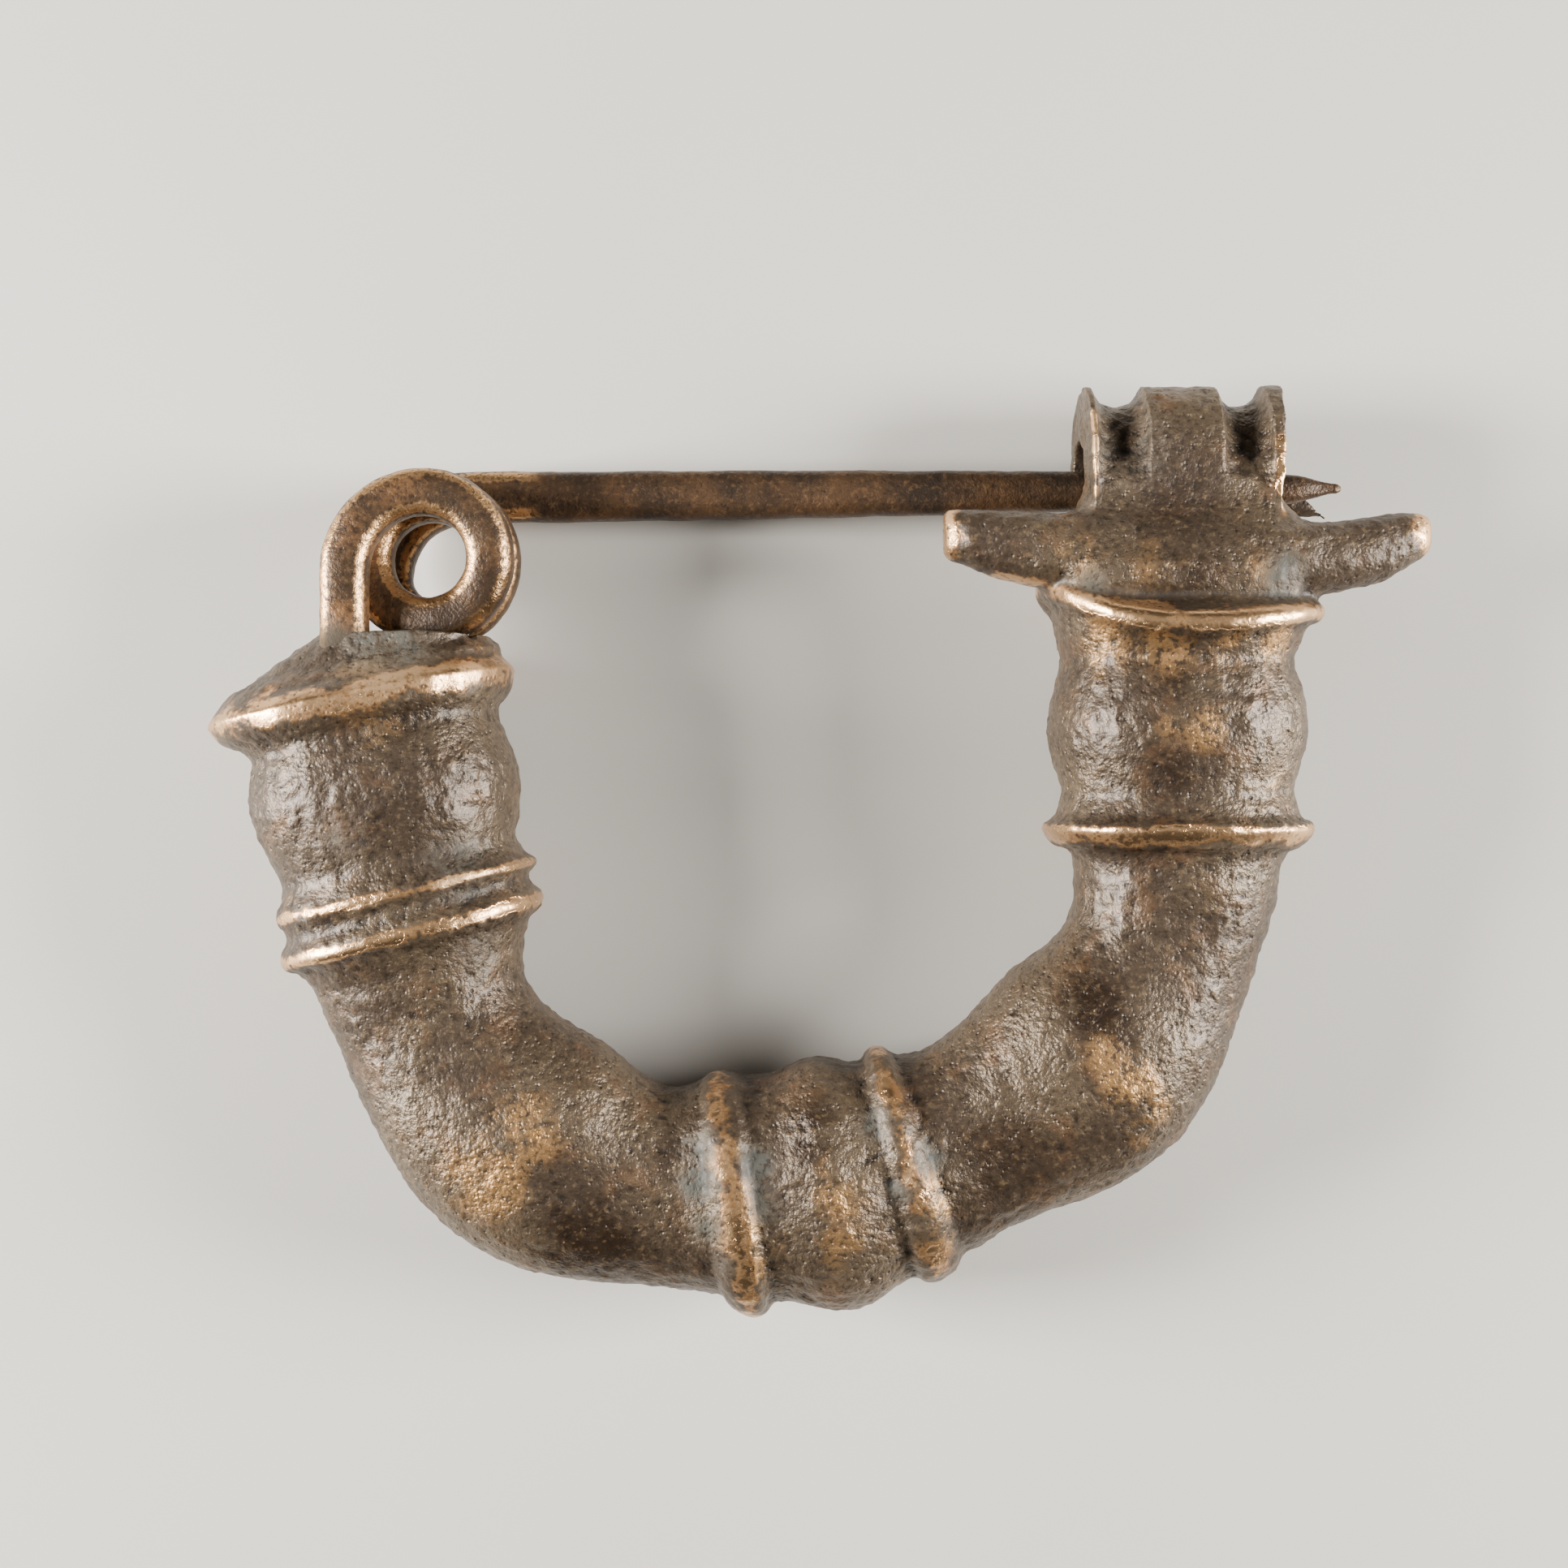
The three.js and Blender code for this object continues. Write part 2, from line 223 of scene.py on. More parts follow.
castBow = {
    # the bow's middle line, from the flange to the collar
    "route": {
        "start": (-19.02, 9.12),
        "heading": -79.2,
        "runs": [(14.2,), (11.15, 78.3), (2.6,), (19.7, 29.1), (1.9,), (12.1, 61.8), (12.7,)],
    },
    # place along the line, half width of the plain bow
    "girth": [
        (1.6, 4.75), (2.2, 5.15), (3.0, 5.65), (3.8, 5.4), (4.4, 5.0), (9.8, 4.85), (10.6, 4.95),
        (11.0, 5.05), (12.9, 5.1),
        (13.9, 4.4), (16.3, 4.03), (23.2, 4.92), (29.1, 4.05), (30.3, 4.35), (33.0, 4.6),
        (37.3, 4.6), (39.8, 4.25), (41.5, 4.05), (47.3, 4.87), (53.1, 3.93), (56.6, 4.25),
        (57.2, 4.6), (58.2, 5.0), (59.1, 4.72), (64.7, 4.75), (66.2, 5.15), (66.9, 5.4),
        (67.5, 5.35), (67.9, 4.6), (68.25, 4.0),
    ],
    # place, rise, half width, lean in degrees, shift to the inside, roundness of the top
    "mouldings": {
        "flangeShoulder": (1.6, 0.25, 0.7, 0, 0.3, 1),
        "endFlange": (3.0, 0.75, 1.35, 1, -0.25, 0.45),
        "leftBead": (7.15, 0.6, 2.8, 0, 0, 1.6),
        "leftUpperRing": (11.05, 0.38, 0.5, 1, 0.1, 0.55),
        "leftLowerRing": (12.7, 0.4, 0.6, 3, 0.05, 0.55),
        "crownLeftRing": (31.6, 0.6, 0.95, 9, -0.2, 0.6),
        "crownBead": (35.5, 0.6, 2.2, 0, 0, 1.6),
        "crownRightRing": (38.85, 0.62, 0.85, -3, 0, 0.6),
        "rightRing": (57.6, 0.72, 0.64, 0, 0, 0.5),
        "rightBead": (62.0, 0.58, 2.7, 0, 0, 1.6),
        "collar": (67.2, 0.5, 0.7, -5.5, -0.1, 0.55),
    },
    "first": 1.6,
    "last": 68.25,
    "stride": 0.9,  # from ring to ring where the bow is plain
    "apart": 0.1,  # the least distance between two rings
    # where rings cross a moulding, as shares of its half width
    "mouldingRings": (-1.02, -0.85, -0.6, -0.3, 0, 0.3, 0.6, 0.85, 1.02),
    "leanReach": 2.8,  # a leaning moulding's tilt fades out by here
    # place along the line, depth as a share of the width
    "depth": [(1.6, 0.66), (1.9, 0.66), (2.9, 0.765), (5.0, 0.86)],
    "collarDip": (64.5, 66.8, 1.25),  # from, to, how far the collar sags at front and back
    "dipSkew": 0.45,  # how much further it sags on the left than on the right
    "flangeTop": (-16.9, 8.78, 3.5, 3.0),  # x, y, half width, half depth
    "trough": (-15.82, 11.8, 3.67, -3.9, 1.8),  # the coil's seat: x, y, radius, low, high
    # y, x, half width, half depth of the body under the catch
    "catchBody": [
        (8.4, 14.6, 4.2, 3.0), (9.7, 14.6, 4.8, 3.2), (10.5, 14.6, 5.2, 3.55),
        (11.3, 14.6, 5.4, 3.65), (12.3, 14.65, 5.4, 3.3), (13.0, 14.7, 5.1, 2.85),
        (13.5, 14.75, 4.7, 2.6),
        (13.9, 14.75, 4.3, 2.46), (14.4, 14.73, 4.0, 2.42), (15.0, 14.72, 3.84, 2.36),
    ],
    "catchPower": 4.5,  # how square the body under the catch is
    "hornLevel": 1.45,  # how far the horns stand in front of the bow's middle
    # x, middle height, half height, half depth
    "leftHorn": [
        (12.4, 12.1, 1.5, 1.9), (10.4, 12.1, 1.5, 1.75), (8.6, 12.05, 1.55, 1.55),
        (6.9, 12.32, 1.4, 1.42), (5.9, 12.56, 1.2, 1.28), (5.4, 12.64, 1.12, 1.05),
        (5.1, 12.68, 1.0, 0.8), (4.94, 12.68, 0.75, 0.5),
    ],
    "rightHorn": [
        (16.8, 11.7, 1.7, 1.95), (19.0, 11.65, 1.62, 1.8), (21.0, 11.78, 1.5, 1.6),
        (22.7, 12.12, 1.4, 1.42), (23.7, 12.43, 1.18, 1.25), (24.2, 12.56, 1.04, 1.0),
        (24.52, 12.62, 0.86, 0.72), (24.68, 12.64, 0.62, 0.45),
    ],
    "pinWay": (2, 28, 10.45, 16, -0.35, -12),  # left, right, bottom, top, front, rear
    "voxel": 0.15,
    "crest": (90, 0.27),  # rounds of smoothing and height in mm that tell a crest
    # how much a rubbed band and a crest calm the skin, and the least roughness left
    "calm": (1.2, 1.1, 0.06),
    # size, strength, detail, middle, where it works
    "lumps": [
        (2.2, 0.14, 1, 0.55, ""),
        (0.7, 0.11, 1, 0.55, "roughShare"),
        (0.32, 0.1, 0, 0.55, "roughShare"),
    ],
    "lost": 0.06,  # skin lost all over to filing and corrosion
    "backLevel": 0.01,  # the back rests this far above the frame's zero
    "keep": 0.6,  # share of the faces left after thinning
    "keepRough": 0.6,  # how strongly the thinning heeds the rough places
    "grain": (4, 0.03),
}


def bump(distance, reach, roundness):
    # a moulding's section: 1 in its middle, 0 at its reach
    share = min(abs(distance) / reach, 1)
    return (1 - share * share) ** roundness


def bowStation(at):
    # the bow's ring at a place along the line, mouldings included
    half = keyed(castBow["girth"], at)
    lean, shift = 0, 0
    for where, rise, reach, tilt, aside, roundness in castBow["mouldings"].values():
        share = bump(at - where, reach, roundness)
        half += rise * share
        lean += tilt * bump(at - where, castBow["leanReach"], 2)
        shift += aside * share
    start, end, dip = castBow["collarDip"]
    if at > end:
        lean = castBow["mouldings"]["collar"][3]
    x, y, heading = along(castBow["route"], at)
    return {
        "centre": place(x - shift * math.sin(heading), y + shift * math.cos(heading)),
        "angle": heading + math.radians(lean),
        "size": (half, half * keyed(castBow["depth"], at)),
        "dip": dip * ease(start, end, at),
    }


def sagCollar(stations):
    # each ring's front and back points slide back along the bow, furthest left of the middle
    bpy.ops.object.mode_set(mode="EDIT")
    bpy.ops.mesh.select_mode(type="VERT")
    for station in stations:
        if station["dip"] < 0.01:
            continue
        centre, (half, depth) = station["centre"], station["size"]
        ahead = Vector((math.cos(station["angle"]), math.sin(station["angle"]), 0))
        aside = Vector((ahead.y, -ahead.x, 0))
        mesh = bmesh.from_edit_mesh(bpy.context.object.data)
        ring = [p.co - centre for p in mesh.verts if abs((p.co - centre).dot(ahead)) < 1e-7]
        for across in sorted({round(p.dot(aside) / (half * mm), 3) for p in ring}):
            level = max(
                abs(p.z) / (depth * mm) for p in ring
                if abs(p.dot(aside) / (half * mm) - across) < 2e-3
            )
            selectWhere(
                lambda p: abs((p - centre).dot(ahead)) < 1e-7
                and abs((p - centre).dot(aside) / (half * mm) - across) < 2e-3
                and (p - centre).length < 0.01
            )
            slide = station["dip"] * level ** ovalPower * (1 - castBow["dipSkew"] * across)
            bpy.ops.transform.translate(value=ahead * (-slide * mm))
    bpy.ops.mesh.select_mode(type="FACE")
    bpy.ops.object.mode_set(mode="OBJECT")


def makeBowBody():
    # even rings along the plain bow, closer ones across each moulding
    places = set()
    at = castBow["first"]
    while at < castBow["last"]:
        places.add(round(at, 3))
        at += castBow["stride"]
    places.add(castBow["last"])
    for where, _, reach, *_ in castBow["mouldings"].values():
        for share in castBow["mouldingRings"]:
            spot = round(where + share * reach, 3)
            places = {p for p in places if abs(p - spot) > castBow["apart"]} | {spot}
    places = sorted(p for p in places if castBow["first"] <= p <= castBow["last"])
    x, y, half, depth = castBow["flangeTop"]
    top = {"centre": place(x, y), "angle": -quarter, "size": (half, depth), "dip": 0}
    stations = [top] + [bowStation(at) for at in places]
    body = sweep("castBow", stations)
    sagCollar(stations)
    return body


def makeTrough():
    # the dished seat that the coil turns in
    x, y, radius, low, high = castBow["trough"]
    bpy.ops.mesh.primitive_cylinder_add(
        vertices=96, radius=radius * mm, depth=(high - low) * mm,
        location=place(x, y, (high + low) / 2),
    )
    return bpy.context.object


def makePinWay():
    # the room behind the catch's body and horns that lets the pin pass
    left, right, bottom, top, front, rear = castBow["pinWay"]
    bpy.ops.mesh.primitive_cube_add(
        size=mm, location=place((left + right) / 2, (bottom + top) / 2, (rear + front) / 2),
        scale=(right - left, top - bottom, front - rear),
    )
    return bpy.context.object


def makeCatch():
    rings = [
        {"centre": place(x, y), "angle": quarter, "size": (half, depth)}
        for y, x, half, depth in castBow["catchBody"]
    ]
    return sweep("catchBody", rings, power=castBow["catchPower"])


def makeHorn(name, angle):
    rings = [
        {"centre": place(x, y, castBow["hornLevel"]), "angle": angle, "size": (half, depth)}
        for x, y, half, depth in castBow[name]
    ]
    return sweep(name, rings, corners=6)


# the catch plate rises in front of the pin, folds over it and ends in a lip behind
catchPlate = {
    "left": 10.89,
    "right": 18.55,
    "front": 2.4,
    "rear": -3.6,
    "bottom": 11.2,
    "shoulder": 15.6,
    "top": 19.1,
    "channel": (-1.5, 15.75, 1.15),  # z, y, radius of the fold's inside
    "lipBottom": 13.95,
    "fold": (0.35, 0.75),  # shares of the way round where the fold starts and ends
    "steps": 34,
    "tip": (0.93, 0.07, 0.06),  # share where the lip's end rounds off, over what, least square
    "flare": (0.3, 3.2, 2.8),  # how far the lip's two ends stand out, and how late
    "flutes": {"left": (12.22, 0.98), "right": (17.22, 0.9)},  # x, half width
    "fluteDepth": 0.9,
    "fluteLeast": 0.05,
    "fluteRun": (0.1, 0.62),  # where a flute starts, and its length, as shares of the way round
    "fluteSteps": 40,
    "fluteFades": (13.5, 16.8),  # heights where it starts to sink in and would be full
    "fluteEnd": (0.72, 0.6),  # shares where it has gone, and where it starts to go
}


def foldPoint(share):
    # middle, thickness and facing of the plate at a share of its way round
    front, rear, shoulder = catchPlate["front"], catchPlate["rear"], catchPlate["shoulder"]
    z, y, radius = catchPlate["channel"]
    start, end = catchPlate["fold"]
    if share < start:
        rise = share / start
        height = catchPlate["bottom"] + (shoulder - catchPlate["bottom"]) * rise
        outer, inner = Vector((0, height, front)), Vector((0, height, z + radius))
    elif share < end:
        angle = (share - start) / (end - start) * math.pi
        middle, wide = (front + rear) / 2, (front - rear) / 2
        tall = catchPlate["top"] - shoulder
        outer = Vector((0, shoulder + tall * math.sin(angle), middle + wide * math.cos(angle)))
        inner = Vector((0, y + radius * math.sin(angle), z + radius * math.cos(angle)))
    else:
        fall = (share - end) / (1 - end)
        height = shoulder + (catchPlate["lipBottom"] - shoulder) * fall
        outer, inner = Vector((0, height, rear)), Vector((0, height, z - radius))
    return outer, inner


def makePlate():
    left, right = catchPlate["left"], catchPlate["right"]
    flareLeft, flareRight, late = catchPlate["flare"]
    tipStart, tipRun, tipLeast = catchPlate["tip"]
    stations = []
    for index in range(catchPlate["steps"] + 1):
        share = index / catchPlate["steps"]
        outer, inner = foldPoint(share)
        facing = outer - inner
        out = share ** late
        low, high = left - flareLeft * out, right + flareRight * out
        thick = facing.length / 2
        if share > tipStart:
            thick *= math.sqrt(max(1 - ((share - tipStart) / tipRun) ** 2, tipLeast))
        middle = (outer + inner) / 2
        stations.append({
            "centre": place((low + high) / 2, middle.y, middle.z),
            "angle": math.atan2(-facing.y, facing.z),
            "size": (thick, (high - low) / 2),
        })
    return sweepPlate(stations)


def sweepPlate(stations):
    # the plate's section is a flat bar across X, extruded up, round the fold and down
    first = stations[0]
    bpy.ops.object.select_all(action="DESELECT")
    bpy.ops.mesh.primitive_plane_add(
        size=2 * mm, location=first["centre"], rotation=(quarter, 0, 0)
    )
    piece = bpy.context.object
    piece.name = "catchPlate"
    bpy.ops.object.transform_apply(location=True, rotation=True, scale=True)
    bpy.ops.object.mode_set(mode="EDIT")
    bpy.ops.mesh.select_mode(type="FACE")
    bpy.ops.mesh.select_all(action="SELECT")
    thick, wide = first["size"]
    bpy.ops.transform.resize(value=(wide, 1, thick), center_override=first["centre"])
    turn(first["angle"], "X", first["centre"])
    for here, there in zip(stations, stations[1:]):
        move = there["centre"] - here["centre"]
        bpy.ops.mesh.extrude_region_move(TRANSFORM_OT_translate={"value": move})
        turn(-here["angle"], "X", there["centre"])
        grow = (there["size"][1] / here["size"][1], 1, there["size"][0] / here["size"][0])
        bpy.ops.transform.resize(value=grow, center_override=there["centre"])
        turn(there["angle"], "X", there["centre"])
    bpy.ops.mesh.select_all(action="SELECT")
    bpy.ops.mesh.normals_make_consistent(inside=False)
    bpy.ops.object.mode_set(mode="OBJECT")
    return piece


def makeFlute(x, half):
    # a rod that follows the plate's face and sinks into it, ready to be cut away
    start, run = catchPlate["fluteRun"]
    count = catchPlate["fluteSteps"]
    stations = []
    for index in range(count + 1):
        share = start + run * index / count
        outer, inner = foldPoint(share)
        facing = outer - inner
        onFront = share < catchPlate["fold"][0]
        fade = ease(*catchPlate["fluteFades"], outer.y) if onFront else 1
        behind = ease(*catchPlate["fluteEnd"], share)
        deep = max(catchPlate["fluteDepth"] * fade * behind, catchPlate["fluteLeast"])
        stations.append({
            "centre": place(x, outer.y, outer.z),
            "angle": math.atan2(-facing.y, facing.z),
            "size": (deep, half),
        })
    return sweep("flute", stations, corners=5, power=2.2, axis="X")


def makeCastBow():
    body = makeBowBody()
    print("bow body", len(body.data.vertices))
    cut(body, makeTrough())
    parts = [makeCatch(), makeHorn("leftHorn", math.pi), makeHorn("rightHorn", 0)]
    for part in parts:
        cut(part, makePinWay())
    plate = makePlate()
    for x, half in catchPlate["flutes"].values():
        cut(plate, makeFlute(x, half))
    chooseOnly(body, plate, *parts)
    bpy.ops.object.join()
    flattenBack(body, 0)
    applyModifier(body, "REMESH", mode="VOXEL", voxel_size=castBow["voxel"] * mm)
    print("one casting", len(body.data.vertices))
    applyModifier(body, "SMOOTH", factor=0.5, iterations=3)
    return body


def flattenBack(piece, level):
    # the brooch lies flat: what is below a level in mm is cut away and closed
    chooseOnly(piece)
    bpy.ops.object.mode_set(mode="EDIT")
    bpy.ops.mesh.select_all(action="SELECT")
    bpy.ops.mesh.bisect(
        plane_co=(0, 0, level * mm), plane_no=(0, 0, 1), use_fill=True, clear_inner=True,
        threshold=1e-7,
    )
    bpy.ops.object.mode_set(mode="OBJECT")


def roughen(piece):
    # the skin of an old casting: broad lumps, then closer ones that fade on worn edges
    bandCalm, full, least = castBow["calm"]
    raised = markRaised(piece, "raised", *castBow["crest"])
    smooth = np.maximum(np.clip(raised, 0, 1), bandCalm * rubbedShare(coordinates(piece)))
    weights = np.clip(full - smooth, least, 1)
    grain = piece.vertex_groups.new(name="roughShare")
    steps = np.round(weights * 20).astype(int)
    for step in np.unique(steps):
        grain.add(np.nonzero(steps == step)[0].tolist(), float(step / 20), "REPLACE")
    for row in castBow["lumps"]:
        relief(piece, *row)
    applyModifier(piece, "DISPLACE", strength=-castBow["lost"] * mm, mid_level=0)


# how the crest of each moulding is rubbed: half width of the band in mm, strength
rubbed = {
    "endFlange": (1.25, 1.0),
    "leftUpperRing": (0.42, 0.85),
    "leftLowerRing": (0.5, 0.9),
    "crownLeftRing": (0.9, 0.85),
    "crownRightRing": (0.75, 0.7),
    "rightRing": (0.6, 1.0),
    "collar": (0.7, 1.05),
}
rubbedReach = 8.5  # mm from a moulding's middle, past which lie other parts of the casting

# the horns' blunt ends and the plate's front edges are rubbed too: x, y, z, radius
rubbedTips = [
    (4.8, 12.7, 1.3, 1.7), (24.8, 12.6, 1.3, 1.8),
    (10.9, 13.4, 2.4, 0.5), (10.9, 14.3, 2.4, 0.5), (10.9, 15.2, 2.4, 0.5), (10.9, 16.2, 2.3, 0.5),
    (10.9, 17.1, 1.9, 0.5), (18.6, 13.5, 2.4, 0.45), (18.6, 14.4, 2.4, 0.45),
    (18.6, 15.3, 2.4, 0.45), (18.6, 16.3, 2.3, 0.45),
]


def rubbedShare(points):
    # a band along each crest, measured from the moulding's own leaning plane
    total = np.zeros(len(points))
    for name, (reach, share) in rubbed.items():
        station = bowStation(castBow["mouldings"][name][0])
        away = points - np.array(station["centre"])
        ahead = np.array((math.cos(station["angle"]), math.sin(station["angle"]), 0))
        depth = np.minimum(np.abs(away[:, 2]) / (station["size"][1] * mm), 1)
        aside = away @ np.array((ahead[1], -ahead[0], 0)) / (station["size"][0] * mm)
        skew = 1 - castBow["dipSkew"] * np.clip(aside, -1, 1)
        dip = station["dip"] * mm * depth ** ovalPower * skew
        off = np.abs(away @ ahead + dip) / (reach * mm)
        band = np.clip(1 - off * off, 0, 1) * share
        band[np.linalg.norm(away, axis=1) > rubbedReach * mm] = 0
        total = np.maximum(total, band)
    for x, y, z, radius in rubbedTips:
        gap = np.linalg.norm(points - np.array(place(x, y, z)), axis=1) / (radius * mm)
        total = np.maximum(total, np.clip(1.4 - gap, 0, 1))
    return total


bow = makeCastBow()
roughen(bow)
flattenBack(bow, castBow["backLevel"])
applyModifier(
    bow, "DECIMATE", ratio=castBow["keep"], vertex_group="roughShare",
    vertex_group_factor=castBow["keepRough"],
)
markRaised(bow, "grain", *castBow["grain"])
writeShares(bow, "rubbed", rubbedShare(coordinates(bow)))
print("bow skin", len(bow.data.vertices), sum(len(f.vertices) - 2 for f in bow.data.polygons))


# the wire: a foot let into the flange, two turns and a quarter, then the pin
wire = {
    "route": {
        "start": (-19.0, 7.1),
        "heading": 90,
        "runs": [(4.1,), (3.18, -90), (2.58, -540), (2.2, -90), (3.32, -89.7), (36.6,)],
    },
    "extra": 1.74,  # how much longer the foot is than in the CAD part
    # place, height of the wire's middle
    "levels": [
        (0, 1.95), (2.4, 1.95), (7.4, 1.6), (11.4, 1.35), (15.5, 0.9), (19.5, 0), (23.6, -0.37),
        (27.6, -0.6), (31.7, -1.15), (35.1, -2.1), (40.2, -2.6), (77, -1.25),
    ],
    # place, half width, half depth
    "girth": [
        (-1, 1.0, 0.86), (0, 0.98, 0.85), (35, 0.98, 0.85), (41, 1.1, 0.9), (60, 0.94, 0.8),
        (74.2, 0.66, 0.58), (75, 0.58, 0.52), (76.35, 0.22, 0.22), (76.7, 0.2, 0.2),
        (76.88, 0.1, 0.1),
    ],
    "power": 3.1,
    "arris": (0.35, 0.6),  # product of the two offsets where a corner begins and is full
    "coilEnd": 41,
    "coilStep": 0.5,
    "pinStep": 1.3,
    "pinEnd": 74,  # from here on the point has stations of its own
    "point": (74.2, 74.7, 75.2, 75.7, 76.1, 76.35, 76.55, 76.7, 76.8, 76.88),
    "lumps": [(1.6, 0.1, 1, 0.5), (0.45, 0.04, 1, 0.55)],  # size, strength, detail, middle
    "grain": (6, 0.015),
}


def wireStation(at):
    x, y, heading = along(wire["route"], at + wire["extra"])
    level = keyed(wire["levels"], at, 1, False)
    return {
        "centre": place(x, y, level),
        "angle": heading,
        "size": (keyed(wire["girth"], at, 1, False), keyed(wire["girth"], at, 2, False)),
    }


def markArrises(piece, stations):
    # how near each point is to one of the square section's four rounded corners
    points = coordinates(piece)
    centres = np.array([station["centre"] for station in stations])
    gaps = ((points[:, None, :] - centres[None, :, :]) ** 2).sum(axis=2)
    nearest = gaps.argmin(axis=1)
    angles = np.array([station["angle"] for station in stations])[nearest]
    sizes = np.array([station["size"] for station in stations])[nearest] * mm
    away = points - centres[nearest]
    across = (away[:, 1] * np.cos(angles) - away[:, 0] * np.sin(angles)) / sizes[:, 0]
    corner = np.abs(across * away[:, 2] / sizes[:, 1])
    low, high = wire["arris"]
    writeShares(piece, "arris", (corner - low) / (high - low))


def makeWire():
    places = []
    at = -wire["extra"]
    while at < wire["pinEnd"]:
        places.append(at)
        at += wire["coilStep"] if at < wire["coilEnd"] else wire["pinStep"]
    places += wire["point"]
    stations = [wireStation(at) for at in places]
    piece = sweep("springAndPin", stations, corners=4, power=wire["power"])
    applyModifier(piece, "SUBSURF", levels=2, render_levels=2)
    markArrises(piece, stations)
    for row in wire["lumps"]:
        relief(piece, *row)
    markRaised(piece, "grain", *wire["grain"])
    return piece


pin = makeWire()
print("wire", len(pin.data.vertices), len(pin.data.polygons))


def linear(code):
    # an sRGB hex colour as Blender's linear values, by the standard's own constants
    parts = [int(code[i : i + 2], 16) / 255 for i in (1, 3, 5)]
    return tuple(p / 12.92 if p <= 0.04045 else ((p + 0.055) / 1.055) ** 2.4 for p in parts) + (1,)


def per(size):
    return 1 / (size * mm)  # texture scale for a pattern of this size in mm


def addNode(tree, kind, inputs=None, give=0, **settings):
    # adds a node, sets or links its inputs, and gives back one of its outputs
    node = tree.nodes.new("ShaderNode" + kind)
    for name, value in settings.items():
        setattr(node, name, value)
    for key, value in (inputs or {}).items():
        if isinstance(value, bpy.types.NodeSocket):
            tree.links.new(value, node.inputs[key])
        else:
            node.inputs[key].default_value = value
    return node.outputs[give] if node.outputs else None


# settings that many nodes share
soft = {"interpolation_type": "SMOOTHSTEP"}
rgb = {"data_type": "RGBA"}
multiply = {"operation": "MULTIPLY"}
addScaled = {"operation": "MULTIPLY_ADD"}  # input 0 times input 1, plus input 2
strongest = {"operation": "MAXIMUM"}

bronze = {
    # pattern sizes in mm
    "broad": 5.0,
    "blotch": 1.5,
    "fine": 0.24,
    "pits": 0.31,
    "grit": 0.11,
    "relief": 0.075,  # height of the grain that is too fine to model
    # dull or patinated, then where it is rubbed bright
    "metallic": (0.5, 1.0),
    "roughness": (0.39, 0.26),
    "depositRough": 0.5,  # roughness that a full deposit adds
    "coat": (0.1, 0.3),  # the wax: its weight on the open skin, its roughness
    # mm above the frame's zero at which the lists of places below lie on the front skin
    "wornLevel": 8.0,
    "dullShadedLevel": 6.5,
    "depositLevel": 7.8,
    # colours
    "darkSkin": "#43372C",
    "paleSkin": "#5C4E3E",
    "reddish": "#6F4F34",
    # dark patches of patina, and painted shade, at the dark places
    "darkPatchAndShade": "#2C1E12",
    "crease": "#1F1812",
    "grainTop": "#A08662",
    "tan": "#B98F5E",
    "copper": "#96704A",
    "gold": "#DEB486",
    "deposit": "#474B47",
}

# places where handling has worn the skin through, then places painted darker, partly dark patches
# of patina and partly painted shade: x, y, radius, strength
wornPlaces = [
    (-11.5, -11.1, 1.5, 1.0), (-12.9, -12.9, 1.8, 0.85), (-14.2, -14.3, 1.2, 0.4),
    (12.1, -9.1, 1.2, 1.0), (11.2, -8.0, 0.9, 0.6), (12.9, -10.2, 1.1, 0.9),
    (13.0, -11.2, 0.9, 0.6),
    (15.0, 4.8, 1.0, 1.0), (13.7, 4.8, 0.7, 0.9), (0.8, -13.6, 1.0, 0.8),
    (0.4, -12.4, 0.6, 0.6), (1.0, -15.4, 1.1, 0.6), (-2.9, -15.2, 1.6, 0.6),
    (4.8, -15.7, 1.0, 0.8), (10.2, 11.4, 1.2, 0.6), (13.4, 11.3, 1.2, 0.4),
    (17.5, 11.1, 1.0, 0.4), (10.9, 8.0, 1.4, 0.9), (18.4, 8.0, 1.1, 0.9),
    (13.6, 8.1, 1.3, 0.7), (16.2, 8.1, 1.1, 0.5), (10.1, 2.8, 1.0, 0.5), (-17.6, 6.6, 1.4, 0.6),
    (-11.6, 4.7, 0.9, 0.6), (-17.2, 4.6, 1.1, 0.4), (18.2, 2.6, 1.0, 0.4),
    (-3.7, -12.0, 0.7, 0.8), (-3.3, -13.6, 0.8, 1.0), (-2.9, -15.0, 0.8, 1.0),
    (-2.5, -16.4, 0.9, 1.0), (4.4, -12.8, 0.6, 0.8), (4.8, -14.2, 0.7, 0.9),
    (-3.2, -14.2, 0.6, 1.0), (-3.6, -12.8, 0.5, 1.0),
]
darkAndShadedPlaces = [
    (10.8, -6.1, 1.5, 1.0), (11.9, -7.0, 0.9, 0.9), (9.6, -5.0, 0.9, 0.8),
    (-0.2, -10.5, 1.6, 0.6), (-5.9, -11.8, 0.8, 0.9),
    (-9.7, -7.6, 2.0, 0.5), (-9.0, -16.0, 2.6, 1.0), (14.0, 6.4, 0.9, 0.7),
    (14.0, 3.0, 1.1, 0.7), (6.9, 12.1, 1.3, 0.5), (7.0, -12.1, 2.4, 0.6),
    (14.6, 9.9, 2.0, 0.7), (17.5, 17.0, 1.4, 0.5), (-16.5, 5.6, 1.6, 0.5),
    (14.3, 14.6, 2.4, 0.6), (-0.4, -11.0, 1.6, 0.8), (17.0, 13.2, 1.6, 0.4),
    (14.6, 16.6, 1.3, 0.6),
]
# places where the skin is matt and its colour is darkened as painted shade: x, y, radius, strength
dullShadedPlaces = [
    (22.6, 12.5, 2.2, 1.0), (20.4, 11.9, 1.8, 0.9), (14.7, 15.0, 2.4, 0.8), (14.7, 12.4, 2.4, 0.6),
    (7.2, 12.3, 1.8, 0.6), (17.6, 11.0, 2.0, 0.7), (11.5, 10.9, 1.6, 0.6),
]
